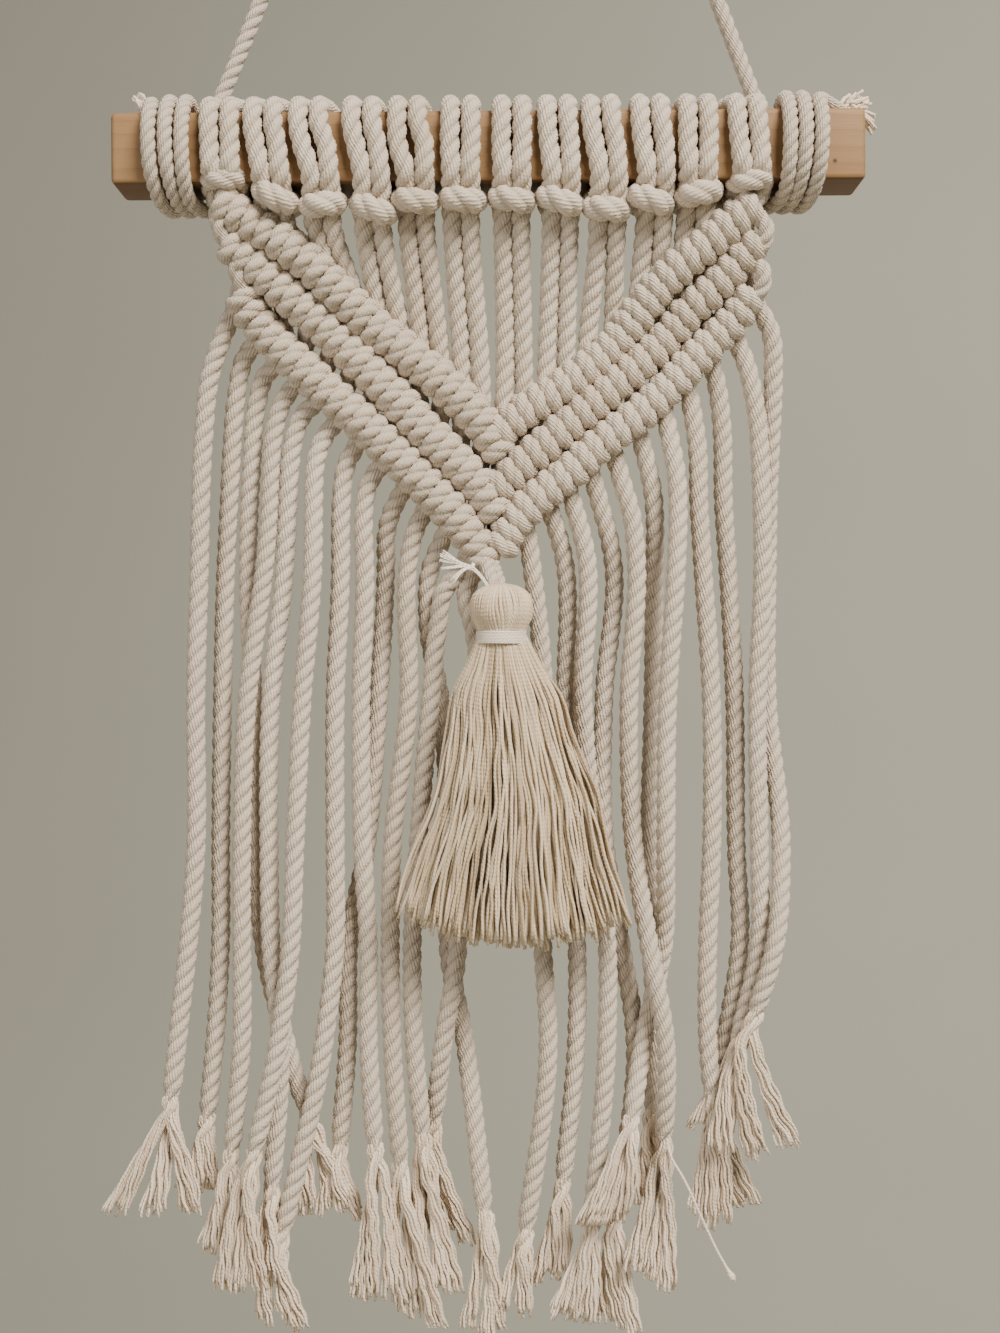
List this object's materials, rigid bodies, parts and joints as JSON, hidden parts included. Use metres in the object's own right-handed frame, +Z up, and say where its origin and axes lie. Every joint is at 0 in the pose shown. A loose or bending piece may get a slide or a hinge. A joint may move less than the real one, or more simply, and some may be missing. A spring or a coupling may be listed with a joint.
{
  "type": "macrame wall hanging with wooden rod",
  "caption": "Macrame wall hanging of cotton cord on a square wooden rod, with diagonal knotted rows meeting in a V, a tassel in the middle, a long frayed fringe and a cord hanger.",
  "frame": {"origin": "on the wall plane, where the hanger's crown rests on the nail", "axes": "+Z up, the decorated front faces -Y, the wall is the plane y = 0, +X to the viewer's right"},
  "size_m": [0.2052, 0.0324, 0.5066],
  "materials": {
    "rod_wood": "bare sanded pine",
    "cotton_cord": "matt three-ply twisted cotton",
    "end_cord": "matt three-ply twisted cotton",
    "tassel_yarn": "soft thin cotton yarn with a slight lustre",
    "tassel_binding": "tight smooth thread"
  },
  "bodies": {
    "root": {"rod": "rod_wood", "macrame": "cotton_cord", "hanger": "end_cord", "wrap_left": "end_cord", "wrap_right": "end_cord", "tassel": "tassel_yarn", "tassel_band": "tassel_binding"}
  },
  "joints": []
}
